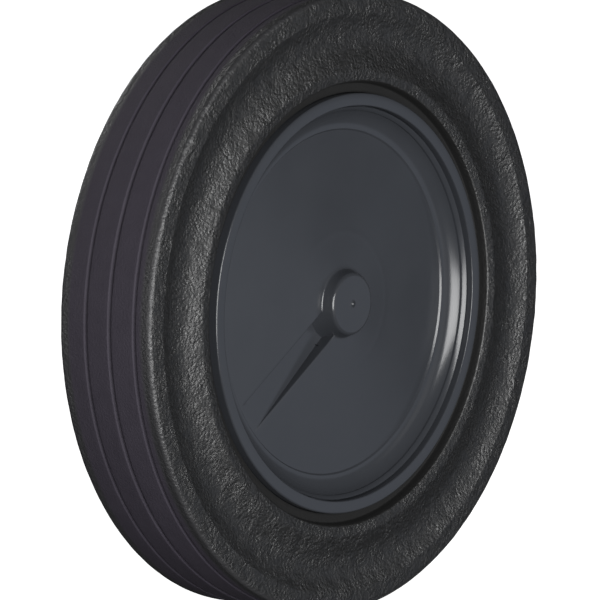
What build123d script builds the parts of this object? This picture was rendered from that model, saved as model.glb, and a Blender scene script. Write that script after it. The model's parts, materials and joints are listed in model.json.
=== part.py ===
"""Push-on wheel of a two-wheeled refuse bin: a plastic hub, a solid rubber tyre and a sprung axle latch.

Millimetres. The spin axis is Y and +Z is up. The front face looks towards -Y and the blind axle bore
opens towards +Y. The origin is on the spin axis, in the plane halfway through the tyre.
Outlines of revolution are drawn on the XY plane as (radius, y, rounding of that corner).
"""

from math import cos, radians, sin, tan
import os

from build123d import *

# Tyre: heights are from the hub's flange outwards, drops from the tread inwards, the valley's from the
# outer rib; insets are measured from the plane of the widest ribs
tyre_overhang = 0.6
tyre_height = 32.5
tread_crown = 0.5
tread_edge_inset = 3.4
lip_height = 3.9
lip_inset = 0.3
lip_draft = 0.7
bead_rib_height = 7.3
valley_drop = 7.7
valley_inset = 2.7
valley_round = 20.0
shoulder_rib_drop = 6.8
shoulder_rib_inset = 0.45
shoulder_drop = 1.2
shoulder_inset = 1.2
mouth_depth = 3.5
tread_grooves = 3
groove_pitch = 9.8
groove_width = 1.6
groove_depth = 0.8
front_groove_inset = 7.0

# Hub rim and flanges
hub_width = 37.0
seat_radius = 61.0
flange_height = 6.5
front_flange = 9.5
back_flange = 3.5
rim_wall = 3.5
flange_round = 0.6
tyre_clearance = 0.15

# Front face of the hub, from the flange inwards
flange_land = 4.2
rim_step_round = 1.0
rim_groove_width = 0.8
rim_groove_depth = 2.0
rim_groove_slant = 0.35
cove_top_depth = 1.2
cove_angle = 78.0
cove_radius = 6.8
cove_width = 7.2
disc_depth = 7.3
disc_step = 0.5
cone_rise = 4.9
web = 3.2

# Boss and trough in the front face
boss_top_radius = 9.9
boss_draft = 15.5
boss_proud = 0.5
boss_round = 1.2
boss_foot_round = 0.8
trough_width = 10.3
trough_angle = 217.3
trough_depth = 8.0
trough_end_depth = 7.2

# Axle bore and its tube
bore_radius = 10.15
bore_lead_in = 1.0
bore_end_depth = 8.7
tube_overhang = 8.0
relief_radius = 11.0
tube_radius = 15.5
tube_taper = 0.5

# Ribs at the back
rib_count = 8
rib_thickness = 2.6
rib_drop_at_rim = 3.0
rib_drop_at_tube = 6.5

# Axle latch
latch_floor = 2.7
nose_radius = 2.6
nose_reach = 2.5
nose_ramp = 3.2
pin_radius = 3.9
pin_seat = 13.2
pin_length = 28.0
latch_clearance = 0.1
spring_pocket_radius = 2.8
spring_pocket_depth = 16.0
housing_wall = 2.8
plug_head_radius = 4.9
plug_head = 2.0
plug_spigot = 5.0
plug_peg_radius = 1.45
plug_peg = 3.5
plug_sink = 0.25
spring_radius = 2.1
spring_wire = 0.35
spring_turns = 10
spring_sides = 8

# Places worked out from the sizes
front = -hub_width / 2
back = hub_width / 2
side_wall = back + tyre_overhang
bore_mouth = back + tube_overhang
bore_end = front + bore_end_depth
rim_inner = seat_radius - rim_wall
flange_radius = seat_radius + flange_height
rim_step_radius = flange_radius - flange_land
cove_top_radius = rim_step_radius - rim_groove_width
disc_radius = cove_top_radius - cove_width
tread_radius = flange_radius + tyre_height
tread_edge_radius = tread_radius - tread_crown
shoulder_radius = tread_radius - shoulder_drop
shoulder_rib_radius = tread_radius - shoulder_rib_drop
valley_radius = shoulder_rib_radius - valley_drop
bead_rib_radius = flange_radius + bead_rib_height
valley_fillet = min(valley_round, 1.9 * (valley_radius - bead_rib_radius))
lip_radius = flange_radius + lip_height
disc_front = front + disc_depth
cove_floor = disc_front - disc_step
trough_floor = front + trough_depth
channel_radius = pin_radius + latch_clearance
latch_y = trough_floor + latch_floor + channel_radius
window_radius = nose_radius + latch_clearance
housing_radius = channel_radius + housing_wall
relief_half_width = window_radius + 0.4
plug_shoulder = seat_radius - plug_head
spring_start = pin_seat + pin_length - spring_pocket_depth
spring_end = plug_shoulder - plug_spigot
trough_direction = Vector(cos(radians(trough_angle)), 0, sin(radians(trough_angle)))
latch_plane = Plane(origin=(0, latch_y, 0), x_dir=(0, 1, 0), z_dir=trough_direction)
trough_plane = Plane(
    origin=(0, 0, 0), x_dir=trough_direction, z_dir=trough_direction.cross(Vector(0, 1, 0))
)


def cone_y(radius, behind=0.0):
    """Y of the front disc's shallow cone at a radius, or of a cone some way behind it."""
    return disc_front - cone_rise * (1 - radius / disc_radius) + behind


def ring(*corners, mode=Mode.ADD):
    """Revolve about the spin axis the outline through corners given as (radius, y, rounding)."""
    with BuildSketch(Plane.XY) as section:
        with BuildLine():
            points = [(radius, y) for radius, y, rounding in corners]
            FilletPolyline(points, radius=[corner[2] for corner in corners], close=True)
        make_face()
    revolve(section.sketch, axis=Axis.Y, mode=mode)


def boss_side(y):
    """Radius of the boss's drafted side at a Y."""
    return boss_top_radius + (y - boss_top) * tan(radians(boss_draft))


# Flat-floored trough from the boss to where the cone comes down to its floor; the boss stays out of it
boss_top = front - boss_proud
with BuildPart() as trough:
    with BuildSketch(trough_plane):
        with BuildLine():
            Polyline(
                (0, front),
                (0, trough_floor),
                (disc_radius, front + trough_end_depth),
                (disc_radius, front),
                close=True,
            )
        make_face()
    extrude(amount=trough_width / 2, both=True)
    ring(
        (0, boss_top, 0),
        (boss_side(boss_top), boss_top, 0),
        (boss_side(trough_floor), trough_floor, 0),
        (0, trough_floor, 0),
        mode=Mode.SUBTRACT,
    )

# Hub: front face with its closed round boss, rim and tube are one turned form
boss_slope = tan(radians(boss_draft))
boss_foot_radius = boss_side(cone_y(0)) / (1 - boss_slope * cone_rise / disc_radius)
cove_corner_radius = cove_top_radius - (cove_floor - front - cove_top_depth) / tan(radians(cove_angle))
with BuildPart() as hub:
    ring(
        (0, boss_top, 0),
        (boss_top_radius, boss_top, boss_round),
        (boss_foot_radius, cone_y(boss_foot_radius), boss_foot_round),
        (disc_radius, disc_front, 0.2),
        (disc_radius + 0.2, cove_floor, 0.15),
        (cove_corner_radius, cove_floor, cove_radius),
        (cove_top_radius, front + cove_top_depth, 0),
        (rim_step_radius - rim_groove_slant, front + rim_groove_depth, 0),
        (rim_step_radius, front, rim_step_round),
        (flange_radius, front, flange_round),
        (flange_radius, front + front_flange, flange_round),
        (seat_radius, front + front_flange, 0),
        (seat_radius, back - back_flange, 0),
        (flange_radius, back - back_flange, flange_round),
        (flange_radius, back, flange_round),
        (rim_inner, back, flange_round),
        (rim_inner, cone_y(rim_inner, web), 1.5),
        (tube_radius + tube_taper, cone_y(tube_radius, web), 1.5),
        (tube_radius, bore_mouth, 0.8),
        (0, bore_mouth, 0),
    )

    # Radial ribs between tube and rim; the latch housing takes the place of one of them
    rib_start = tube_radius - tube_taper
    rib_end = rim_inner + rim_wall / 2
    for rib in range(1, rib_count):
        angle = radians(trough_angle + rib * 360 / rib_count)
        rib_plane = Plane(
            origin=(0, 0, 0), x_dir=(cos(angle), 0, sin(angle)), z_dir=(-sin(angle), 0, cos(angle))
        )
        with BuildSketch(rib_plane):
            with BuildLine():
                Polyline(
                    (rib_start, cone_y(rib_start, web / 2)),
                    (rib_end, cone_y(rib_end, web / 2)),
                    (rib_end, back - rib_drop_at_rim),
                    (rib_start, back - rib_drop_at_tube),
                    close=True,
                )
            make_face()
        extrude(amount=rib_thickness / 2, both=True)

    # Latch housing, behind the trough: a round-backed bar from the tube to the rim, let into the web
    with BuildSketch(latch_plane.offset(rib_start)):
        Circle(housing_radius)
    extrude(amount=rib_end - rib_start)
    with BuildSketch(trough_plane):
        with BuildLine():
            Polyline(
                (rib_start, cone_y(rib_start, web / 2)),
                (rib_end, cone_y(rib_end, web / 2)),
                (rib_end, latch_y),
                (rib_start, latch_y),
                close=True,
            )
        make_face()
    extrude(amount=housing_radius, both=True)

    # Blind axle bore, relieved where the latch stands in it
    ring(
        (0, bore_end, 0),
        (bore_radius, bore_end, 0.5),
        (bore_radius, latch_y - relief_half_width, 0),
        (relief_radius, latch_y - relief_half_width, 0),
        (relief_radius, latch_y + relief_half_width, 0),
        (bore_radius, latch_y + relief_half_width, 0),
        (bore_radius, bore_mouth - bore_lead_in, 0),
        (bore_radius + bore_lead_in, bore_mouth, 0),
        (0, bore_mouth, 0),
        mode=Mode.SUBTRACT,
    )

    # Window, channel and counterbore of the latch, drilled in from the tyre's seat
    with BuildSketch(latch_plane):
        Circle(window_radius)
    extrude(amount=pin_seat, mode=Mode.SUBTRACT)
    with BuildSketch(latch_plane.offset(pin_seat)):
        Circle(channel_radius)
    extrude(amount=seat_radius - pin_seat, mode=Mode.SUBTRACT)
    with BuildSketch(latch_plane.offset(plug_shoulder)):
        Circle(plug_head_radius + latch_clearance)
    extrude(amount=plug_head + 1, mode=Mode.SUBTRACT)

    add(trough.part, mode=Mode.SUBTRACT)
hub.part.label = "hub"

# Tyre: a tongue between the flanges, two ribs on each side wall and grooves round the tread
with BuildPart() as tyre:
    tyre_bore = flange_radius + tyre_clearance
    tongue = seat_radius + tyre_clearance
    side = [
        (tyre_bore, mouth_depth, 0),
        (lip_radius - lip_draft, mouth_depth, 0.5),
        (lip_radius, lip_inset, 0.6),
        (bead_rib_radius, 0, 4.5),
        (valley_radius, valley_inset, valley_fillet),
        (shoulder_rib_radius, shoulder_rib_inset, 0.8),
        (shoulder_radius, shoulder_inset, 2.0),
        (tread_edge_radius, tread_edge_inset, 1.0),
    ]
    front_side = [(radius, inset - side_wall, rounding) for radius, inset, rounding in side]
    back_side = [(radius, side_wall - inset, rounding) for radius, inset, rounding in reversed(side)]
    ring(
        (tongue, front + front_flange, 0),
        (tyre_bore, front + front_flange, 0),
        *front_side,
        (tread_radius, 0, 0),
        *back_side,
        (tyre_bore, back - back_flange, 0),
        (tongue, back - back_flange, 0),
    )

    for groove in range(tread_grooves):
        groove_y = front_groove_inset - side_wall + groove * groove_pitch
        ring(
            (tread_radius - groove_depth, groove_y - groove_width / 4, 0),
            (tread_radius + groove_depth, groove_y - groove_width * 3 / 4, 0),
            (tread_radius + groove_depth, groove_y + groove_width * 3 / 4, 0),
            (tread_radius - groove_depth, groove_y + groove_width / 4, 0),
            mode=Mode.SUBTRACT,
        )
tyre.part.label = "tyre"

# Latch pin: a nose with a ramp towards the bore's mouth, a body in the channel, a pocket for the spring
nose_tip = bore_radius - nose_reach
with BuildPart() as latch_pin:
    with BuildSketch(latch_plane.offset(nose_tip)):
        Circle(nose_radius)
    extrude(amount=pin_seat - nose_tip)
    with BuildSketch(latch_plane.offset(pin_seat)):
        Circle(pin_radius)
    extrude(amount=pin_length)
    with BuildSketch(latch_plane.offset(spring_start)):
        Circle(spring_pocket_radius)
    extrude(amount=spring_pocket_depth, mode=Mode.SUBTRACT)
    nose_side = latch_y + nose_radius
    with BuildSketch(trough_plane):
        with BuildLine():
            Polyline(
                (nose_tip, nose_side - nose_ramp),
                (nose_tip, nose_side + 1),
                (nose_tip + nose_ramp + 1, nose_side + 1),
                close=True,
            )
        make_face()
    extrude(amount=nose_radius + 1, both=True, mode=Mode.SUBTRACT)
latch_pin.part.label = "latch_pin"

# Plug that closes the channel under the tyre and centres the spring on a peg
with BuildPart() as latch_plug:
    with BuildSketch(latch_plane.offset(plug_shoulder)):
        Circle(plug_head_radius)
    extrude(amount=plug_head - plug_sink)
    with BuildSketch(latch_plane.offset(spring_end)):
        Circle(pin_radius)
    extrude(amount=plug_spigot)
    with BuildSketch(latch_plane.offset(spring_end - plug_peg)):
        Circle(plug_peg_radius)
    extrude(amount=plug_peg)
latch_plug.part.label = "latch_plug"

# Compression spring between the bottom of the pin's pocket and the plug
spring_height = spring_end - spring_start - 2 * spring_wire
with BuildPart() as latch_spring:
    with BuildLine():
        coil = Helix(
            pitch=spring_height / spring_turns,
            height=spring_height,
            radius=spring_radius,
            center=(latch_plane.offset(spring_start + spring_wire)).origin,
            direction=trough_direction,
        )
    with BuildSketch(Plane(origin=coil @ 0, z_dir=coil % 0)):
        RegularPolygon(radius=spring_wire, side_count=spring_sides)
    sweep(is_frenet=True)
latch_spring.part.label = "latch_spring"

os.makedirs("parts", exist_ok=True)
export_step(hub.part, "parts/hub.step")
export_step(tyre.part, "parts/tyre.step")
export_step(latch_pin.part, "parts/latch_pin.step")
export_step(latch_plug.part, "parts/latch_plug.step")
export_step(latch_spring.part, "parts/latch_spring.step")
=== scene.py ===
# %% [markdown]
# # Dressing a push-on bin wheel
# The wheel of a two-wheeled refuse bin is made of two mouldings and a small catch. A grey polypropylene hub
# carries a solid rubber tyre, and a sprung pin hidden in the hub locks the wheel on its axle. The CAD model
# already has every size. What it lacks is what the eye reads first: smooth curves, two very different black
# and grey finishes, and the light that tells them apart. This lesson adds those.

# %% Load the CAD model
import json
import math

import bmesh
import bpy
import numpy as np
from mathutils import Matrix, Vector


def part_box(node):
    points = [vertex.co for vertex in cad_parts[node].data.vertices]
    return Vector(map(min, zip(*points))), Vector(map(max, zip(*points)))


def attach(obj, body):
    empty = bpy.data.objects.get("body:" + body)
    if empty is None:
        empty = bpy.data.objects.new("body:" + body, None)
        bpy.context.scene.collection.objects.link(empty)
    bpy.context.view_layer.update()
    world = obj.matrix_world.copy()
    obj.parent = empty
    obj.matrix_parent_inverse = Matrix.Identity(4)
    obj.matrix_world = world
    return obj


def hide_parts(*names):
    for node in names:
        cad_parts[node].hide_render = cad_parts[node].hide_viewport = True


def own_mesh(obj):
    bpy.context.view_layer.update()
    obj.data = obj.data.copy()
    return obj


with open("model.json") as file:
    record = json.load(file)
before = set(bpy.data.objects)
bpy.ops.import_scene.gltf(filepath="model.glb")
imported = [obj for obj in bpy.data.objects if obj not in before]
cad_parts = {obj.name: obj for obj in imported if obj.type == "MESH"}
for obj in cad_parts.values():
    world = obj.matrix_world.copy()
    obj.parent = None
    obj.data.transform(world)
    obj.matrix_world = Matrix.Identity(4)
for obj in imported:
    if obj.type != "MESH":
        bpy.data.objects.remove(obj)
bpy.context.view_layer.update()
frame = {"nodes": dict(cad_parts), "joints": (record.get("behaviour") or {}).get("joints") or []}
MM = 0.001
print("CAD nodes:", ", ".join(sorted(frame["nodes"])))

# %% [markdown]
# ## Sizes
# All shapes below are worked out in millimetres, in the CAD model's own place: the spin axis is Y, the front
# looks towards -Y, +Z is up, and the origin is in the middle of the tyre. The largest sizes are read from the
# loaded nodes, so that the looks follow the model. The direction of the trough in the hub's face is read
# from the catch's joint, because the catch slides right behind it.

# %% Main sizes, in millimetres
hub_low, hub_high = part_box("hub")
tyre_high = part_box("tyre")[1]
flange_radius = hub_high.x / MM
boss_top = hub_low.y / MM
tube_end = hub_high.y / MM
tread_radius = tyre_high.x / MM
latch_axis = frame["joints"][0]["axis"]
trough_angle = math.atan2(latch_axis[2], latch_axis[0])
hub_width = 37.0
front = -hub_width / 2
back = hub_width / 2
front_flange = 9.5
back_flange = 3.5
seat_radius = 61.0
tyre_width = 38.2
print("flange radius", round(flange_radius, 2), "tread radius", round(tread_radius, 2))
print("trough direction in degrees", round(math.degrees(trough_angle) % 360, 1))

# %% [markdown]
# ## Outlines with rounded corners
# A moulded part has no sharp corners: the steel of the mould is cut with round tools, and rubber will not
# fill a point. Those small radii catch the light as thin bright lines. So each outline is a list of corners
# with a rounding of its own, and one function lays an arc into each corner.


# %% Arcs in corners
def corner_arc(before, corner, after, rounding, steps=7):
    """Points of the arc that touches both sides of a corner.

    The centre lies on the corner's bisector, at rounding / sin(half angle), and the arc swings between
    the two touching points by spherical interpolation. All arguments may be arrays of (radius, y) pairs.
    """
    before, corner, after = (np.asarray(point, float) for point in (before, corner, after))
    rounding = np.maximum(np.asarray(rounding, float), 1e-3)[..., None]
    to_before = (before - corner) / np.linalg.norm(before - corner, axis=-1, keepdims=True)
    to_after = (after - corner) / np.linalg.norm(after - corner, axis=-1, keepdims=True)
    half = 0.5 * np.arccos(np.clip((to_before * to_after).sum(-1, keepdims=True), -1, 1))
    bisector = to_before + to_after
    bisector /= np.maximum(np.linalg.norm(bisector, axis=-1, keepdims=True), 1e-9)
    centre = corner + bisector * rounding / np.sin(half)
    start = corner + to_before * rounding / np.tan(half) - centre
    end = corner + to_after * rounding / np.tan(half) - centre
    swing = np.maximum(np.pi - 2 * half, 1e-6)
    share = np.linspace(0, 1, steps).reshape((steps,) + (1,) * corner.ndim)
    return centre + (np.sin((1 - share) * swing) * start + np.sin(share * swing) * end) / np.sin(swing)


def outline(corners, spacing=2.0, closed=False):
    """A line of (radius, y) points through corners given as (radius, y, rounding), with long runs divided.

    A tiny rounding is one facet wide on each side, and a larger one gets more points the larger it is.
    """
    count = len(corners)
    points = np.array([corner[:2] for corner in corners], float)
    pieces = []
    for index in range(count):
        if not closed and index in (0, count - 1):
            pieces.append(points[index : index + 1])
        else:
            neighbours = points[index - 1], points[index], points[(index + 1) % count]
            rounding = corners[index][2]
            steps = 3 if rounding < 0.3 else int(min(6 + rounding, 11))
            pieces.append(corner_arc(*neighbours, rounding, steps))
    dense = []
    for index, piece in enumerate(pieces):
        dense.append(piece)
        last = index == count - 1
        if last and not closed:
            break
        nearest = pieces[(index + 1) % count][0]
        runs = int(np.linalg.norm(nearest - piece[-1]) // spacing) + 1
        dense.append(piece[-1] + (nearest - piece[-1]) * np.linspace(0, 1, runs + 1)[1:-1, None])
    return np.concatenate(dense)


# %% [markdown]
# ## From a grid of points to a closed mesh
# Each new piece is a grid: one parameter runs along the outline, the other goes round or along the piece. The
# grid becomes a mesh in one go. Where a row shrinks to a single point, as on the spin axis, its doubles are
# merged, and the faces are then turned to point outwards. Corners of more than so many degrees stay sharp,
# and the two distances are in millimetres.


# %% Meshes from grids
sharp_corner = 40
merge_distance = 0.002
shortest_edge = 0.0001


def grid_piece(name, points, join_rows=False):
    """A smooth mesh object from points[row, column, xyz] in millimetres, closed round its columns.

    With join_rows the last row meets the first as well, as in a ring.
    """
    rows, columns = points.shape[:2]
    index = np.arange(rows * columns).reshape(rows, columns)
    if join_rows:
        index = np.concatenate([index, index[:1]])
    index = np.concatenate([index, index[:, :1]], axis=1)
    quads = np.stack([index[:-1, :-1], index[:-1, 1:], index[1:, 1:], index[1:, :-1]], axis=-1)
    quads = quads.reshape(-1, 4)
    mesh = bpy.data.meshes.new(name)
    mesh.vertices.add(rows * columns)
    mesh.vertices.foreach_set("co", (points * MM).astype(np.float32).ravel())
    mesh.loops.add(quads.size)
    mesh.loops.foreach_set("vertex_index", quads.astype(np.int32).ravel())
    mesh.polygons.add(len(quads))
    mesh.polygons.foreach_set("loop_start", np.arange(0, quads.size, 4, dtype=np.int32))
    mesh.update(calc_edges=True)
    close_mesh(mesh, sharp_corner)
    piece = bpy.data.objects.new(name, mesh)
    bpy.context.scene.collection.objects.link(piece)
    return piece


def close_mesh(mesh, sharp):
    """Merges doubled points, turns the faces outwards and shades all but sharp corners smoothly.

    A corner is sharp when its faces meet at more than that many degrees.
    """
    work = bmesh.new()
    work.from_mesh(mesh)
    bmesh.ops.remove_doubles(work, verts=work.verts, dist=merge_distance * MM)
    bmesh.ops.dissolve_degenerate(work, edges=work.edges, dist=shortest_edge * MM)
    bmesh.ops.recalc_face_normals(work, faces=work.faces)
    work.to_mesh(mesh)
    work.free()
    mesh.polygons.foreach_set("use_smooth", np.ones(len(mesh.polygons), bool))
    mesh.set_sharp_from_angle(angle=math.radians(sharp))


def turned(name, line, turns):
    """The line of (radius, y) points swept once round the spin axis."""
    angle = np.linspace(0, 2 * np.pi, turns, endpoint=False)
    radius, along = line[:, :1], line[:, 1:]
    points = np.stack([radius * np.cos(angle), along + 0 * angle, radius * np.sin(angle)], axis=-1)
    return grid_piece(name, points)


def directions(angle):
    """Unit vectors that point outwards and across at an angle round the spin axis."""
    cosine, sine = math.cos(angle), math.sin(angle)
    return np.array([cosine, 0, sine]), np.array([-sine, 0, cosine])


# %% [markdown]
# ## The hub's face
# The face, its rim and both flanges are one moulding. It could be turned like the tyre, but a trough with
# upright walls runs from the boss to the edge of the disc, and a plain round grid would tear those walls
# into steps. So the grid is bent instead: inside the trough its columns run parallel to the trough, and
# beyond it they fan out over the rest of the circle. One closed surface then carries everything, and the
# trough's walls stay straight and crisp.

# %% Sizes of the front face
disc_radius = 55.3
disc_front = front + 7.3
disc_step = 0.5
cone_rise = 4.9
web = 3.2
boss_top_radius = 9.9
boss_draft = math.radians(15.5)
boss_round = 1.2
boss_foot_round = 0.8
trough_foot_round = 0.02
trough_half = 5.15
trough_lip = 0.3
trough_floor = front + 8.0
trough_end_floor = front + 7.2
trough_skin = 0.3
witness_radius = 23.0
witness_width = 0.7
witness_height = 0.02
gate_radius = 0.7
gate_height = 0.6
tube_radius = 15.5
tube_taper = 0.5
rim_inner = 57.5
bore_end = -9.8
hub_end = bore_end - 0.1


def cone_y(radius, behind=0.0):
    """The disc is a very flat cone that rises towards the boss."""
    return disc_front - cone_rise * (1 - radius / disc_radius) + behind


def trough_y(radius):
    """The floor of the trough rises evenly towards the edge of the disc."""
    return trough_floor + (trough_end_floor - trough_floor) * radius / disc_radius


def disc_y(radius, depth):
    """Y of the disc, or of the trough: as deep below the cone as a column goes, down to the trough's floor.

    A faint round step, left by an insert in the mould, stands on the cone.
    """
    cone = cone_y(radius) - witness_height * np.exp(-(((radius - witness_radius) / witness_width) ** 2))
    return np.minimum(cone + depth, np.maximum(trough_y(radius), cone))


# %% [markdown]
# Each column has an offset from the trough's middle and a depth below the cone. The rounded upper edge of a
# wall is a quarter circle in those two numbers. On the floor the depth is more than any trough has, so that
# the floor itself ends it. Columns outside the trough have a share of the remaining circle instead.

# %% Columns of the bent grid
floor_columns = 11
fan_columns = 300
open_depth = 99.0
quarter = np.linspace(0, np.pi / 2, 5)
lip_offset = trough_half + trough_lip * (1 - np.sin(quarter))
lip_depth = trough_lip * (1 - np.cos(quarter))
floor_offset = np.linspace(-trough_half, trough_half, floor_columns)
across = np.concatenate([-lip_offset, floor_offset, lip_offset[::-1]])
depth_across = np.concatenate([lip_depth, np.full(floor_columns, open_depth), lip_depth[::-1]])
fan = np.linspace(0, 1, fan_columns + 2)[1:-1]
column_depth = np.concatenate([depth_across, np.zeros(len(fan))])
column_offset = np.concatenate([across, np.zeros(len(fan))])
column_share = np.concatenate([np.full(len(across), -1.0), fan])


def column_angle(radius):
    """Direction of each column at a radius: parallel to the trough inside it, fanned out elsewhere."""
    held = np.clip(radius, boss_top_radius, disc_radius)
    inside = np.arcsin(column_offset / held)
    edge = np.arcsin((trough_half + trough_lip) / held)
    outside = edge + (2 * np.pi - 2 * edge) * column_share
    return trough_angle + np.where(column_share < 0, inside, outside)


print("columns round the hub:", len(column_share))


# %% [markdown]
# The rows start in the middle of the boss, go over its rounded rim and down its drafted side, turn into the
# disc, and then follow the outline of the rim and the back. The boss stands deeper in the trough than
# elsewhere, so the foot of its side is found for each column on its own, in a few passes. The disc's
# direction at the foot is read a little further out.


# %% Rows of the bent grid
def boss_side(y):
    """Radius of the boss's drafted side."""
    return boss_top_radius + (y - boss_top) * math.tan(boss_draft)


def everywhere(line):
    """The same outline for all columns, as [row, column, (radius, y)]."""
    return np.repeat(line[:, None, :], len(column_share), axis=1)


side_start = front + 1.6
foot_passes = 12
a_little_further = 2.0
disc_row_count = 49
foot_radius = np.full(len(column_share), boss_side(front))
for _ in range(foot_passes):
    foot_radius = boss_side(disc_y(foot_radius, column_depth))
foot = np.stack([foot_radius, disc_y(foot_radius, column_depth)], axis=-1)
beyond_radius = foot_radius + a_little_further
beyond_foot = np.stack([beyond_radius, disc_y(beyond_radius, column_depth)], axis=-1)
foot_round = np.where(column_depth > 0, trough_foot_round, boss_foot_round)
boss_corners = [
    (0, boss_top, 0),
    (boss_top_radius, boss_top, boss_round),
    (boss_side(side_start), side_start, 0),
]
boss_line = outline(boss_corners, spacing=0.2)
boss_line[:, 1] -= gate_height * np.exp(-((boss_line[:, 0] / gate_radius) ** 2))
boss_rows = everywhere(boss_line)
foot_rows = corner_arc(boss_rows[-1], foot, beyond_foot, foot_round)
disc_edge_radius = disc_radius - 0.25
reach = np.linspace(0, 1, disc_row_count + 1)[1:, None]
disc_radii = foot_rows[-1, :, 0] + (disc_edge_radius - foot_rows[-1, :, 0]) * reach
disc_rows = np.stack([disc_radii, disc_y(disc_radii, column_depth)], axis=-1)

# %% [markdown]
# Outside the disc come a tiny slope up, the concave wall with a bevel along its top, the narrow groove that
# looks like a joint line, the flat flange, the seat under the tyre, the back flange, and the inside of the
# rim back to the middle. The wall and the bevel each mirror the window, so the picture shows two bright
# lines side by side. Near the tube the trough is deeper than the disc is thick, so behind it the back is
# pushed out of its way.

# %% Outline of the rim and the back
flange_round = 0.6
cove_floor = disc_front - disc_step
cove_foot = (59.6, cove_floor, 7.1)
cove_end = (61.85, front + 3.75, 0.1)
bevel_foot = (61.9, front + 3.1, 0.1)
bevel_top = (63.05, front + 1.8, 0.1)
rim_groove_floor = front + 2.9
rim_groove_inner = (63.1, rim_groove_floor, 0.05)
rim_groove_outer = (63.3, rim_groove_floor, 0.05)
flange_inner = (63.5, front, 0.35)
rim_line = outline(
    [
        (disc_radius, disc_front, 0),
        (disc_radius + disc_step, cove_floor, 0.1),
        cove_foot,
        cove_end,
        bevel_foot,
        bevel_top,
        rim_groove_inner,
        rim_groove_outer,
        flange_inner,
        (flange_radius, front, 0.5),
        (flange_radius, front + front_flange, flange_round),
        (seat_radius, front + front_flange, 0.1),
        (seat_radius, back - back_flange, 0.1),
        (flange_radius, back - back_flange, flange_round),
        (flange_radius, back, flange_round),
        (rim_inner, back, flange_round),
        (rim_inner, cone_y(rim_inner, web), 1.5),
        (tube_radius + tube_taper, cone_y(tube_radius, web), 1.2),
        (tube_radius + tube_taper, hub_end, 0.1),
        (0, hub_end, 0),
    ]
)
rim_rows = everywhere(rim_line)
behind_trough = (column_share < 0) & (rim_rows[..., 0] < disc_radius)
skin_y = np.maximum(rim_rows[..., 1], trough_y(rim_rows[..., 0]) + trough_skin)
rim_rows[..., 1] = np.where(behind_trough, skin_y, rim_rows[..., 1])
hub_rows = np.concatenate([boss_rows, foot_rows[1:], disc_rows, rim_rows])
radius, along = hub_rows[..., 0], hub_rows[..., 1]
angle = column_angle(radius)
hub_points = np.stack([radius * np.cos(angle), along, radius * np.sin(angle)], axis=-1)
hub_face = grid_piece("hub_face", hub_points)
print("hub face:", hub_points.shape[:2], "rows and columns")

# %% [markdown]
# ## The back of the hub
# Seven thin ribs tie the tube to the rim, and where the eighth would be, a thick bar holds the catch. Each
# is a cross-section carried outwards along a straight line. The tube is turned. A pin has to slide in the
# bar and look into the bore, so a stepped channel is cut out of the bar and the tube with a Boolean. The
# sides of a rib's cross-section are shorter than the last size here, so they stay undivided.

# %% Sizes of the back
rib_count = 8
rib_half = 1.3
rib_edge_round = 0.5
rib_start = tube_radius - tube_taper
rib_end = rim_inner + 1.75
rib_back_at_rim = back - 3.0
rib_back_at_tube = back - 6.5
tube_start = bore_end - 0.5
latch_y = -3.8
housing_radius = 6.8
housing_wall = 1.2
housing_gap = 0.4
window_radius = 2.7
window_start = 2.0
channel_radius = 4.0
channel_start = 13.2
channel_end = 54.0
channel_turns = 48
bore_radius = 10.15
lead_in = 1.0
pocket_radius = 11.0
pocket_half = 3.1
undivided = 99.0


# %% Carrying a cross-section outwards
def carried(name, sections, radii, direction):
    """A bar whose cross-sections [row, column, (sideways, y)] stand at radii along a direction from the axis.

    A point lies at radius * outwards + sideways * across, and both ends are closed by a fan of triangles.
    """
    outwards, across_bar = directions(direction)
    middles = np.repeat(sections.mean(axis=1, keepdims=True), sections.shape[1], axis=1)
    sections = np.concatenate([middles[:1], sections, middles[-1:]])
    radii = np.concatenate([radii[:1], radii, radii[-1:]])[:, None, None]
    points = outwards * radii + across_bar * sections[..., :1] + np.array([0, 1, 0]) * sections[..., 1:]
    return grid_piece(name, points)


def rib_section(radius):
    """A flat plate with two rounded edges at the back, its front edge sunk in the disc."""
    share = (radius - rib_start) / (rib_end - rib_start)
    rib_back = rib_back_at_tube + (rib_back_at_rim - rib_back_at_tube) * share
    rib_front = cone_y(radius, web / 2)
    corners = [
        (-rib_half, rib_front, 0.05),
        (rib_half, rib_front, 0.05),
        (rib_half, rib_back, rib_edge_round),
        (-rib_half, rib_back, rib_edge_round),
    ]
    return outline(corners, spacing=undivided, closed=True)


# %% Ribs
rib_radii = np.linspace(rib_start, rib_end, 6)
rib_sections = np.stack([rib_section(radius) for radius in rib_radii])
ribs = [
    carried("hub_rib_%d" % number, rib_sections, rib_radii, trough_angle + number * 2 * math.pi / rib_count)
    for number in range(1, rib_count)
]
print("ribs:", len(ribs))


# %% Housing of the catch
def housing_section(radius):
    """Round at the back, with two flanks that reach forward into the disc on both sides of the trough."""
    bend = np.linspace(-np.pi / 2, np.pi / 2, 25)
    round_back = np.stack([housing_radius * np.sin(bend), latch_y + housing_radius * np.cos(bend)], axis=-1)
    flank = cone_y(radius, web / 2)
    inner = housing_radius - housing_wall
    under_trough = trough_floor + housing_gap
    corners = [
        (housing_radius, flank),
        (inner, flank),
        (inner, under_trough),
        (-inner, under_trough),
        (-inner, flank),
        (-housing_radius, flank),
    ]
    return np.concatenate([round_back, corners])


housing_radii = np.linspace(rib_start, rib_end, 12)
housing_sections = np.stack([housing_section(radius) for radius in housing_radii])
housing = carried("hub_latch_housing", housing_sections, housing_radii, trough_angle)

# %% [markdown]
# The tube starts a little inside the solid behind the boss, so that the two overlap. A shallow ring-shaped
# pocket widens the bore where the pin looks in.

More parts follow.
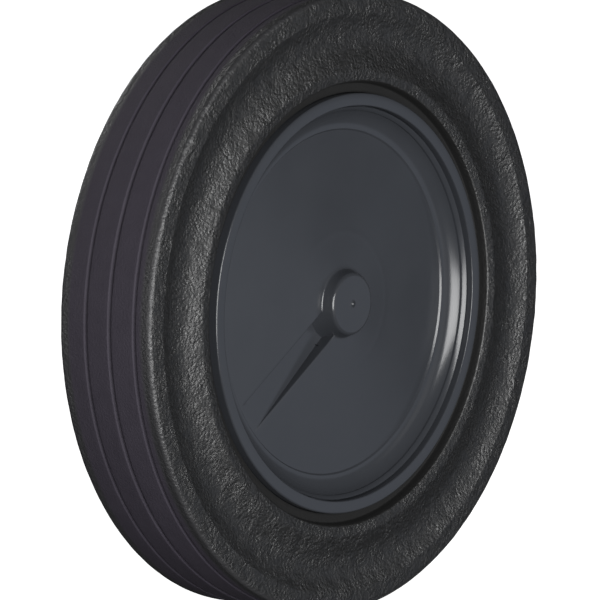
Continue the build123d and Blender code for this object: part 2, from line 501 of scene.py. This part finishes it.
# %% Tube with the blind bore
tube = turned(
    "hub_tube",
    outline(
        [
            (0, bore_end, 0),
            (bore_radius, bore_end, 0.5),
            (bore_radius, latch_y - pocket_half, 0.05),
            (pocket_radius, latch_y - pocket_half, 0.05),
            (pocket_radius, latch_y + pocket_half, 0.05),
            (bore_radius, latch_y + pocket_half, 0.05),
            (bore_radius, tube_end - lead_in, 0.1),
            (bore_radius + lead_in, tube_end, 0.1),
            (tube_radius, tube_end, 0.8),
            (tube_radius + tube_taper, tube_start, 0.1),
            (0, tube_start, 0),
        ],
        spacing=3,
    ),
    turns=128,
)


# %% Channel for the pin
def along_latch(line):
    """Points of a line of (radius, distance from the spin axis) turned about the catch's own axis."""
    outwards, across_latch = directions(trough_angle)
    turn = np.linspace(0, 2 * np.pi, channel_turns, endpoint=False)[None, :, None]
    line = np.array(line)
    radius, distance = line[:, None, :1], line[:, None, 1:]
    centre = np.array([0, latch_y, 0]) + outwards * distance
    return centre + radius * (np.cos(turn) * across_latch + np.sin(turn) * np.array([0, 1, 0]))


def drill(piece, cutter):
    """Takes the cutter's shape out of the piece for good and shades it as before."""
    cut = piece.modifiers.new("channel", "BOOLEAN")
    cut.operation = "DIFFERENCE"
    cut.solver = "EXACT"
    cut.object = cutter
    depsgraph = bpy.context.evaluated_depsgraph_get()
    mesh = bpy.data.meshes.new_from_object(piece.evaluated_get(depsgraph))
    piece.modifiers.clear()
    piece.data = mesh
    close_mesh(mesh, sharp_corner)


channel_line = [
    (0, window_start),
    (window_radius, window_start),
    (window_radius, channel_start),
    (channel_radius, channel_start),
    (channel_radius, channel_end),
    (0, channel_end),
]
channel = grid_piece("channel", along_latch(channel_line))
for piece in (tube, housing):
    drill(piece, channel)
    print(piece.name, "has", len(piece.data.polygons), "faces after drilling")
bpy.data.objects.remove(channel)

# %% [markdown]
# ## The tyre
# A solid tyre of this kind is pressed in a mould from crumbed, recycled rubber. Each side wall has two
# rounded ribs with a shallow valley between them, and a thin lip lies against the hub. Fine grooves run
# round the tread, and a tongue on the inside sits between the hub's flanges. The whole section is one closed
# outline with its own rounding in each corner, turned once round the axis. The side's corners are given as
# radius, distance in from the tyre's widest place, and rounding.

# %% Tyre section
tyre_bore = 67.65
tongue_radius = seat_radius + 0.15
side = [
    (tyre_bore, 3.5, 0.1),
    (70.7, 3.5, 0.5),
    (71.4, 0.3, 0.6),
    (74.8, 0.0, 4.5),
    (85.5, 2.7, 20.0),
    (93.2, 0.45, 0.8),
    (99.6, 0.6, 1.5),
    (99.5, 3.4, 1.0),
]
half_width = tyre_width / 2
groove_depth = 0.8
groove_half = 0.8
groove_edge_round = 0.35
groove_floor_round = 0.15
groove_inset = 7.0
groove_pitch = 9.8
groove_count = 3
groove_places = [groove_inset - half_width + number * groove_pitch for number in range(groove_count)]
front_side = [(radius, inset - half_width, rounding) for radius, inset, rounding in side]
back_side = [(radius, half_width - inset, rounding) for radius, inset, rounding in reversed(side)]


def tread_at(y):
    """The tread is slightly crowned: its radius falls evenly from the middle to both edges."""
    edge_y = half_width - side[-1][1]
    return tread_radius - (tread_radius - side[-1][0]) * abs(y) / edge_y


groove_corners = []
for place in groove_places:
    groove_corners += [
        (tread_at(place - groove_half), place - groove_half, groove_edge_round),
        (tread_radius - groove_depth, place - groove_half / 2, groove_floor_round),
        (tread_radius - groove_depth, place + groove_half / 2, groove_floor_round),
        (tread_at(place + groove_half), place + groove_half, groove_edge_round),
    ]
tongue_front = front + front_flange
tongue_back = back - back_flange
bore_front = [(tyre_bore, tongue_front, 0.1)]
tongue = [
    (tyre_bore, tongue_back, 0.1),
    (tongue_radius, tongue_back, 0.1),
    (tongue_radius, tongue_front, 0.1),
]
tyre_line = outline(
    bore_front + front_side + groove_corners + back_side + tongue,
    spacing=1.5,
    closed=True,
)
print("tyre outline:", len(tyre_line), "points")

# %% [markdown]
# Pressed crumb is never quite flat. Besides the grain, which the material draws, the side walls swell and
# sink by about a twentieth of a millimetre every few millimetres, and that breaks the light on them into
# patches.

# %% Uneven side walls
relief_height = 0.05
relief_shortest = 3.2
relief_longest = 9.0
relief_waves = 60
relief_starts = 71.5
relief_full = 74.5
tread_starts = 98.6
tread_full = 99.4
tread_share = 0.25


def uneven(points):
    """A smooth random height of about 1 at points[..., xyz]: a sum of cosine waves in random directions."""
    random = np.random.default_rng(5)
    direction = random.normal(size=(3, relief_waves))
    direction /= np.linalg.norm(direction, axis=0)
    wave_number = 2 * np.pi / random.uniform(relief_shortest, relief_longest, relief_waves)
    phase = random.uniform(0, 2 * np.pi, relief_waves)
    return np.cos(points @ (direction * wave_number) + phase).sum(axis=-1) / math.sqrt(relief_waves / 2)


def pressed_tyre(line, turns):
    """The outline turned about the axis, each point moved along the outline's normal by the uneven height.

    The normal is the outline's direction turned by a right angle. The height fades out towards the hub, and
    only a small share of it is left on the tread.
    """
    angle = np.linspace(0, 2 * np.pi, turns, endpoint=False)
    along = np.roll(line, -1, axis=0) - np.roll(line, 1, axis=0)
    along /= np.linalg.norm(along, axis=1, keepdims=True)
    fade = np.interp(line[:, 0], [relief_starts, relief_full], [0, 1])
    fade *= np.interp(line[:, 0], [tread_starts, tread_full], [1, tread_share])
    radius, y = line[:, :1], line[:, 1:]
    smooth = np.stack([radius * np.cos(angle), y + 0 * angle, radius * np.sin(angle)], axis=-1)
    height = relief_height * fade[:, None] * uneven(smooth)
    radius = radius - height * along[:, 1:]
    y = y + height * along[:, :1]
    points = np.stack([radius * np.cos(angle), y, radius * np.sin(angle)], axis=-1)
    return grid_piece("tyre_rubber", points, join_rows=True)


tyre = pressed_tyre(tyre_line, turns=400)
print("tyre faces:", len(tyre.data.polygons))

# %% [markdown]
# ## The catch
# The pin and the plug keep their CAD shape, because they are plain and hidden. Their loose triangles are
# copied, merged and shaded smoothly. The spring is drawn again as round wire wound on a helix.

# %% Pin and plug, copied from the CAD model
sharp_cad_corner = 30


def smooth_copy(node, name):
    """A merged and smoothly shaded copy of a CAD node's mesh."""
    mesh = frame["nodes"][node].data.copy()
    mesh.materials.clear()
    close_mesh(mesh, sharp_cad_corner)
    piece = bpy.data.objects.new(name, mesh)
    bpy.context.scene.collection.objects.link(piece)
    return piece


pin = smooth_copy("latch_pin", "catch_pin")
plug = smooth_copy("latch_plug", "catch_plug")

# %% Coil spring
spring_start = 25.2
spring_end = channel_end
coil_radius = 2.1
wire_radius = 0.35
coil_turns = 10
spring_steps = 400
wire_sides = 10


def coil():
    """Round wire on a helix: the rings of points stand across the helix's own direction at each step."""
    share = np.linspace(0, 1, spring_steps)[:, None]
    turn = 2 * np.pi * coil_turns * share
    run = spring_end - spring_start - 2 * wire_radius
    height = spring_start + wire_radius + run * share
    outwards, across_latch = directions(trough_angle)
    spin = np.array([0, 1.0, 0])
    radial = np.cos(turn) * across_latch + np.sin(turn) * spin
    tangent = -np.sin(turn) * across_latch + np.cos(turn) * spin
    tangent = tangent * 2 * np.pi * coil_turns * coil_radius + outwards * run
    tangent /= np.linalg.norm(tangent, axis=1, keepdims=True)
    binormal = np.cross(tangent, radial)
    centre = np.array([0, latch_y, 0]) + outwards * height + radial * coil_radius
    around = np.linspace(0, 2 * np.pi, wire_sides, endpoint=False)[None, :, None]
    ring = radial[:, None] * np.cos(around) + binormal[:, None] * np.sin(around)
    wire = centre[:, None] + wire_radius * ring
    ends = np.repeat(centre[[0, -1], None], wire_sides, axis=1)
    return np.concatenate([ends[:1], wire, ends[1:]])


spring = grid_piece("catch_spring", coil())
print("spring faces:", len(spring.data.polygons))


# %% [markdown]
# ## Materials
# Colours are written as the hex values that a colour picker shows, and one function turns them to the linear
# values that Blender works with. A second small function adds a node with its settings and links. Many
# inputs go by number: a Map Range node takes its value in 0, the old range in 1 and 2 and the new one in 3
# and 4, and a Mix node takes its share in 0, numbers in 2 and 3, vectors in 4 and 5, and colours in 6 and 7.


# %% Colour and node helpers
def linear(code):
    """An sRGB hex colour as linear red, green, blue and a full alpha."""
    value = np.array([int(code[place : place + 2], 16) for place in (1, 3, 5)]) / 255
    value = np.where(value <= 0.04045, value / 12.92, ((value + 0.055) / 1.055) ** 2.4)
    return (*value.tolist(), 1.0)


def node(tree, kind, inputs=None, **settings):
    """Adds a node, sets its properties, and links or sets its inputs by name or number."""
    made = tree.nodes.new(kind)
    for name, value in settings.items():
        setattr(made, name, value)
    for name, value in (inputs or {}).items():
        if isinstance(value, bpy.types.NodeSocket):
            tree.links.new(value, made.inputs[name])
        else:
            made.inputs[name].default_value = value
    return made


def new_material(name):
    """An empty node material with its output, as (material, node tree, output)."""
    material = bpy.data.materials.new(name)
    material.use_nodes = True
    material.node_tree.nodes.clear()
    output = material.node_tree.nodes.new("ShaderNodeOutputMaterial")
    return material, material.node_tree, output


# %% [markdown]
# ### Injection-moulded polypropylene
# The hub is polypropylene with a few per cent of carbon black and a slightly blue cast. The mould is
# polished but not mirror-bright, which gives a satin gloss: soft edges in the reflections, thin clear lines
# on small radii. Thick places shrink as they cool and leave very shallow waves, and handling leaves it a
# little duller in patches.


# %% Hub plastic, with the sizes of its patterns in millimetres
patch_size = 22.2
shrink_wave_size = 35.7
shrink_wave_height = 0.05
grain_size = 0.5
grain_height = 0.02


def moulded_polypropylene():
    material, tree, output = new_material("moulded_polypropylene_grey")
    place = node(tree, "ShaderNodeTexCoord").outputs["Object"]
    patches = node(
        tree, "ShaderNodeTexNoise", {"Vector": place, "Scale": 1 / (patch_size * MM), "Detail": 3.0}
    ).outputs[0]
    grain = node(
        tree, "ShaderNodeTexNoise", {"Vector": place, "Scale": 1 / (grain_size * MM), "Detail": 2.0}
    ).outputs[0]
    tone = node(
        tree, "ShaderNodeMix", {0: patches, 6: linear("#2e3034"), 7: linear("#34363a")}, data_type="RGBA"
    ).outputs[2]
    dullness = node(
        tree, "ShaderNodeMapRange", {0: patches, 1: 0.2, 2: 0.8, 3: 0.18, 4: 0.25}
    ).outputs[0]
    waves = node(
        tree, "ShaderNodeTexNoise", {"Vector": place, "Scale": 1 / (shrink_wave_size * MM), "Detail": 1.0}
    ).outputs[0]
    wavy = node(
        tree, "ShaderNodeBump", {"Height": waves, "Strength": 1.0, "Distance": shrink_wave_height * MM}
    ).outputs[0]
    fine = node(
        tree,
        "ShaderNodeBump",
        {"Height": grain, "Strength": 0.12, "Distance": grain_height * MM, "Normal": wavy},
    ).outputs[0]
    shader = node(
        tree,
        "ShaderNodeBsdfPrincipled",
        {"Base Color": tone, "Roughness": dullness, "IOR": 1.49, "Normal": fine},
    )
    tree.links.new(shader.outputs[0], output.inputs[0])
    return material


# %% [markdown]
# ### Crumb rubber
# The side walls show the crumb that the tyre is pressed from: lumps and pits of about a millimetre, with
# small flat facets that glint. The tread is finer and duller, and browner with a faint violet bloom. One
# material covers both. How far a point lies from the tyre's middle plane decides which one shows, and its
# distance from the spin axis dulls the lip by the hub and the scuffed shoulder. The shoulder is also painted
# a lighter grey: painted sheen that stands in for the broad, blurred highlight of the window there. Rubber
# full of carbon black has a refractive index near 1.6, and on the side walls the specular level is raised
# for the glint of facets that are too small to draw.


# %% Tyre rubber, with the sizes and places of its patterns in millimetres
crumb_size = 1.1
pit_size = 1.2
lump_size = 6.0
crumb_height = 0.42
tread_grain = 0.7
tread_grain_height = 0.25
tread_half = 14.0
side_from = 15.5
lip_edge = 71.0
wall_from = 71.8
shoulder_from = 98.0
scuff_and_sheen_from = 99.0


def crumb_rubber():
    material, tree, output = new_material("pressed_crumb_rubber_black")
    place = node(tree, "ShaderNodeTexCoord").outputs["Object"]
    flat = node(
        tree, "ShaderNodeVectorMath", {0: place, 1: (1.0, 0.0, 1.0)}, operation="MULTIPLY"
    ).outputs[0]
    distance = node(tree, "ShaderNodeVectorMath", {0: flat}, operation="LENGTH").outputs[1]
    along = node(tree, "ShaderNodeSeparateXYZ", {0: place}).outputs[1]
    off_middle = node(tree, "ShaderNodeMath", {0: along}, operation="ABSOLUTE").outputs[0]
    on_tread = node(
        tree, "ShaderNodeMapRange", {0: off_middle, 1: tread_half * MM, 2: side_from * MM, 3: 1.0, 4: 0.0}
    ).outputs[0]
    crumbs = node(
        tree, "ShaderNodeTexVoronoi", {"Vector": place, "Scale": 1 / (crumb_size * MM)}
    ).outputs["Distance"]
    pits = node(
        tree,
        "ShaderNodeTexNoise",
        {"Vector": place, "Scale": 1 / (pit_size * MM), "Detail": 4.0, "Roughness": 0.7},
    ).outputs[0]
    lumps = node(
        tree, "ShaderNodeTexNoise", {"Vector": place, "Scale": 1 / (lump_size * MM), "Detail": 3.0}
    ).outputs[0]
    side_height = node(
        tree, "ShaderNodeMath", {0: crumbs, 1: -0.5, 2: pits}, operation="MULTIPLY_ADD"
    ).outputs[0]
    off_lip = node(
        tree, "ShaderNodeMapRange", {0: distance, 1: lip_edge * MM, 2: wall_from * MM, 3: 0.3, 4: 1.0}
    ).outputs[0]
    bold = node(tree, "ShaderNodeMapRange", {0: lumps, 1: 0.35, 2: 0.65, 3: 0.45, 4: 1.0}).outputs[0]
    boldness = node(tree, "ShaderNodeMath", {0: bold, 1: off_lip}, operation="MULTIPLY").outputs[0]
    tread_height = node(
        tree,
        "ShaderNodeTexNoise",
        {"Vector": place, "Scale": 1 / (tread_grain * MM), "Detail": 3.0, "Roughness": 0.6},
    ).outputs[0]
    coarse = node(
        tree, "ShaderNodeBump", {"Height": side_height, "Strength": boldness, "Distance": crumb_height * MM}
    ).outputs[0]
    fine = node(
        tree, "ShaderNodeBump", {"Height": tread_height, "Strength": 0.8, "Distance": tread_grain_height * MM}
    ).outputs[0]
    relief = node(
        tree, "ShaderNodeMix", {0: on_tread, 4: coarse, 5: fine}, data_type="VECTOR"
    ).outputs[1]
    # Falls from 1 to 0.45 across the shoulder: it dulls the gloss there and mixes in the painted sheen's
    # grey.
    off_scuff_and_sheen = node(
        tree,
        "ShaderNodeMapRange",
        {0: distance, 1: shoulder_from * MM, 2: scuff_and_sheen_from * MM, 3: 1.0, 4: 0.45},
    ).outputs[0]
    clean_tone = node(
        tree, "ShaderNodeMix", {0: lumps, 6: linear("#080808"), 7: linear("#0e0e0e")}, data_type="RGBA"
    ).outputs[2]
    # On the shoulder the side wall turns a lighter grey: painted sheen standing in for the window's broad
    # highlight.
    side_tone = node(
        tree, "ShaderNodeMix", {0: off_scuff_and_sheen, 6: linear("#404042"), 7: clean_tone}, data_type="RGBA"
    ).outputs[2]
    tread_tone = node(
        tree, "ShaderNodeMix", {0: lumps, 6: linear("#302c35"), 7: linear("#38343d")}, data_type="RGBA"
    ).outputs[2]
    tone = node(
        tree, "ShaderNodeMix", {0: on_tread, 6: side_tone, 7: tread_tone}, data_type="RGBA"
    ).outputs[2]
    facets = node(tree, "ShaderNodeMapRange", {0: pits, 1: 0.3, 2: 0.7, 3: 0.32, 4: 0.5}).outputs[0]
    dull_lip = node(tree, "ShaderNodeMix", {0: off_lip, 2: 0.85, 3: facets}, data_type="FLOAT").outputs[0]
    roughness = node(
        tree, "ShaderNodeMix", {0: on_tread, 2: dull_lip, 3: 0.75}, data_type="FLOAT"
    ).outputs[0]
    side_gloss = node(tree, "ShaderNodeMath", {0: off_lip, 1: off_scuff_and_sheen}, operation="MULTIPLY").outputs[0]
    gloss = node(
        tree, "ShaderNodeMix", {0: on_tread, 2: side_gloss, 3: 0.25}, data_type="FLOAT"
    ).outputs[0]
    shader = node(
        tree,
        "ShaderNodeBsdfPrincipled",
        {
            "Base Color": tone,
            "Roughness": roughness,
            "IOR": 1.6,
            "Specular IOR Level": gloss,
            "Normal": relief,
        },
    )
    tree.links.new(shader.outputs[0], output.inputs[0])
    return material


# %% [markdown]
# ### Acetal and spring steel
# The pin and plug are natural acetal, a milky and slippery plastic with a soft gloss and faint ridges from
# the mould. The spring is drawn wire, bright steel with duller streaks.


# %% Catch materials, with the sizes of their patterns in millimetres
cloud_size = 4.0
ridge_size = 0.6
ridge_height = 0.03
streak_size = 0.8


def natural_acetal():
    material, tree, output = new_material("moulded_acetal_natural")
    place = node(tree, "ShaderNodeTexCoord").outputs["Object"]
    cloud = node(
        tree, "ShaderNodeTexNoise", {"Vector": place, "Scale": 1 / (cloud_size * MM), "Detail": 3.0}
    ).outputs[0]
    tone = node(
        tree, "ShaderNodeMix", {0: cloud, 6: linear("#d8d4c8"), 7: linear("#e2dfd6")}, data_type="RGBA"
    ).outputs[2]
    ridges = node(tree, "ShaderNodeTexNoise", {"Vector": place, "Scale": 1 / (ridge_size * MM)}).outputs[0]
    bump = node(
        tree, "ShaderNodeBump", {"Height": ridges, "Strength": 0.15, "Distance": ridge_height * MM}
    ).outputs[0]
    shader = node(
        tree,
        "ShaderNodeBsdfPrincipled",
        {"Base Color": tone, "Roughness": 0.35, "IOR": 1.48, "Subsurface Weight": 0.1, "Normal": bump},
    )
    tree.links.new(shader.outputs[0], output.inputs[0])
    return material


def drawn_spring_wire():
    material, tree, output = new_material("drawn_spring_steel")
    place = node(tree, "ShaderNodeTexCoord").outputs["Object"]
    streaks = node(
        tree, "ShaderNodeTexNoise", {"Vector": place, "Scale": 1 / (streak_size * MM), "Detail": 4.0}
    ).outputs[0]
    tone = node(
        tree, "ShaderNodeMix", {0: streaks, 6: linear("#a9aaac"), 7: linear("#c4c5c6")}, data_type="RGBA"
    ).outputs[2]
    dullness = node(tree, "ShaderNodeMapRange", {0: streaks, 1: 0.3, 2: 0.7, 3: 0.22, 4: 0.4}).outputs[0]
    shader = node(
        tree, "ShaderNodeBsdfPrincipled", {"Base Color": tone, "Roughness": dullness, "Metallic": 1.0}
    )
    tree.links.new(shader.outputs[0], output.inputs[0])
    return material


# %% Give each piece its finish and its body, and hide the CAD node that it stands for
plastic = moulded_polypropylene()
rubber = crumb_rubber()
acetal = natural_acetal()
wire = drawn_spring_wire()


def dress(piece, material, body, cad_node):
    """The piece gets its material and rides on its body in place of the CAD node."""
    piece.data.materials.clear()
    piece.data.materials.append(material)
    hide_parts(cad_node)
    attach(piece, body)


for piece in [hub_face, tube, housing, *ribs]:
    dress(piece, plastic, "wheel", "hub")
dress(tyre, rubber, "wheel", "tyre")
dress(pin, acetal, "latch", "latch_pin")
dress(plug, acetal, "wheel", "latch_plug")
dress(spring, wire, "wheel", "latch_spring")
plug_end = [spring_end * MM * part for part in latch_axis]
plug_end[1] += latch_y * MM
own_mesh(spring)

# %% [markdown]
# ## Camera
# The photograph was taken with a long lens from the front left, slightly above the axle. The camera's place
# is given as an azimuth and an elevation round the wheel, a distance, and how far the picture's middle lies
# beside the middle of the hub's face.

# %% Camera
view_azimuth = math.radians(-50.97)
view_elevation = math.radians(7.37)
view_distance = 1928.5
face_right_of_centre = 16.54
face_below_centre = 1.23
focal_length = 361.85

looking = Vector(
    (
        -math.sin(view_azimuth) * math.cos(view_elevation),
        math.cos(view_azimuth) * math.cos(view_elevation),
        -math.sin(view_elevation),
    )
)
to_right = Vector((math.cos(view_azimuth), math.sin(view_azimuth), 0))
upwards = to_right.cross(looking)
face_centre = Vector((0, front, 0))
aim = face_centre - to_right * face_right_of_centre + upwards * face_below_centre
camera_place = (aim - looking * view_distance) * MM
camera_data = bpy.data.cameras.new("camera")
camera_data.lens = focal_length
camera_data.sensor_width = 36.0
camera_data.clip_end = 50
camera = bpy.data.objects.new("camera", camera_data)
turn = Matrix((to_right, upwards, -looking)).transposed().to_4x4()
camera.matrix_world = Matrix.Translation(camera_place) @ turn
bpy.context.scene.collection.objects.link(camera)
bpy.context.scene.camera = camera
print("camera at", [round(value, 4) for value in camera.location])

# %% [markdown]
# ## Floor and light
# The photograph is a cut-out on white, so the floor emits so much white that no shadow is left on it. The
# wheel neither mirrors it nor gets light from it, and the light from below passes it. The room is nearly
# dark, and softboxes do the lighting. A large one like a window stands in front of the wheel and to its
# left, and a weaker one further round lights the tread and the side wall. The right stays dark but for a
# dim one in front. The disc mirrors a low, dim and bluish one, as it would a pale table top. The last one
# stands behind, so that the back can be seen too.
#
# A softbox is set by where it stands, how large it is and how bright its face looks, and the power that this
# takes is worked out: pi * area * radiance. Angles are in degrees, distances and sizes in metres.


# %% Floor, with its rings in metres
floor_rings = [0.0, 0.3, 1.0, 3.0, 9.0]
floor_glow = 1.0


def pale_floor():
    """A flat disc under the wheel, made of rings so that it stays one plain grid."""
    angle = np.linspace(0, 2 * np.pi, 64, endpoint=False)
    ring = np.array(floor_rings)[:, None] / MM
    level = np.full(ring.shape, -tread_radius)
    points = np.stack([ring * np.cos(angle), ring * np.sin(angle), level + 0 * angle], axis=-1)
    floor = grid_piece("floor", points)
    material, tree, output = new_material("pale_floor")
    shader = node(
        tree,
        "ShaderNodeBsdfPrincipled",
        {
            "Base Color": linear("#f2f2f2"),
            "Roughness": 0.9,
            "Specular IOR Level": 0.0,
            "Emission Color": linear("#ffffff"),
            "Emission Strength": floor_glow,
        },
    )
    tree.links.new(shader.outputs[0], output.inputs[0])
    floor.data.materials.append(material)
    floor.visible_diffuse = False
    floor.visible_glossy = False
    floor.visible_shadow = False


pale_floor()


# %% Softboxes
light_distance = 2.4


def softbox(name, azimuth, elevation, width, height, radiance, tint="#ffffff"):
    """A rectangular light that faces the wheel. Azimuth is from the wheel's front towards its left side."""
    side_angle, lift = math.radians(azimuth), math.radians(elevation)
    away = Vector(
        (
            -math.sin(side_angle) * math.cos(lift),
            -math.cos(side_angle) * math.cos(lift),
            math.sin(lift),
        )
    )
    light = bpy.data.lights.new(name, "AREA")
    light.shape = "RECTANGLE"
    light.size, light.size_y = width, height
    light.energy = math.pi * width * height * radiance
    light.color = linear(tint)[:3]
    lamp = bpy.data.objects.new(name, light)
    lamp.location = away * light_distance
    lamp.rotation_euler = away.to_track_quat("Z", "Y").to_euler()
    bpy.context.scene.collection.objects.link(lamp)


softbox("window_left", azimuth=28, elevation=3, width=2.0, height=1.4, radiance=10.5)
softbox("side_wall", azimuth=100, elevation=3, width=0.9, height=1.2, radiance=3.5)
softbox("front_right", azimuth=-25, elevation=3, width=0.9, height=1.4, radiance=0.4)
softbox("pale_table", azimuth=-46, elevation=-10, width=1.2, height=0.8, radiance=0.38, tint="#dfeaff")
softbox("behind", azimuth=185, elevation=25, width=1.6, height=1.0, radiance=3.5)

# %% Dim room
room_brightness = 0.02
world = bpy.data.worlds.new("room")
world.use_nodes = True
world.node_tree.nodes["Background"].inputs[0].default_value = linear("#ffffff")
world.node_tree.nodes["Background"].inputs[1].default_value = room_brightness
bpy.context.scene.world = world
bpy.context.scene.view_settings.view_transform = "Standard"
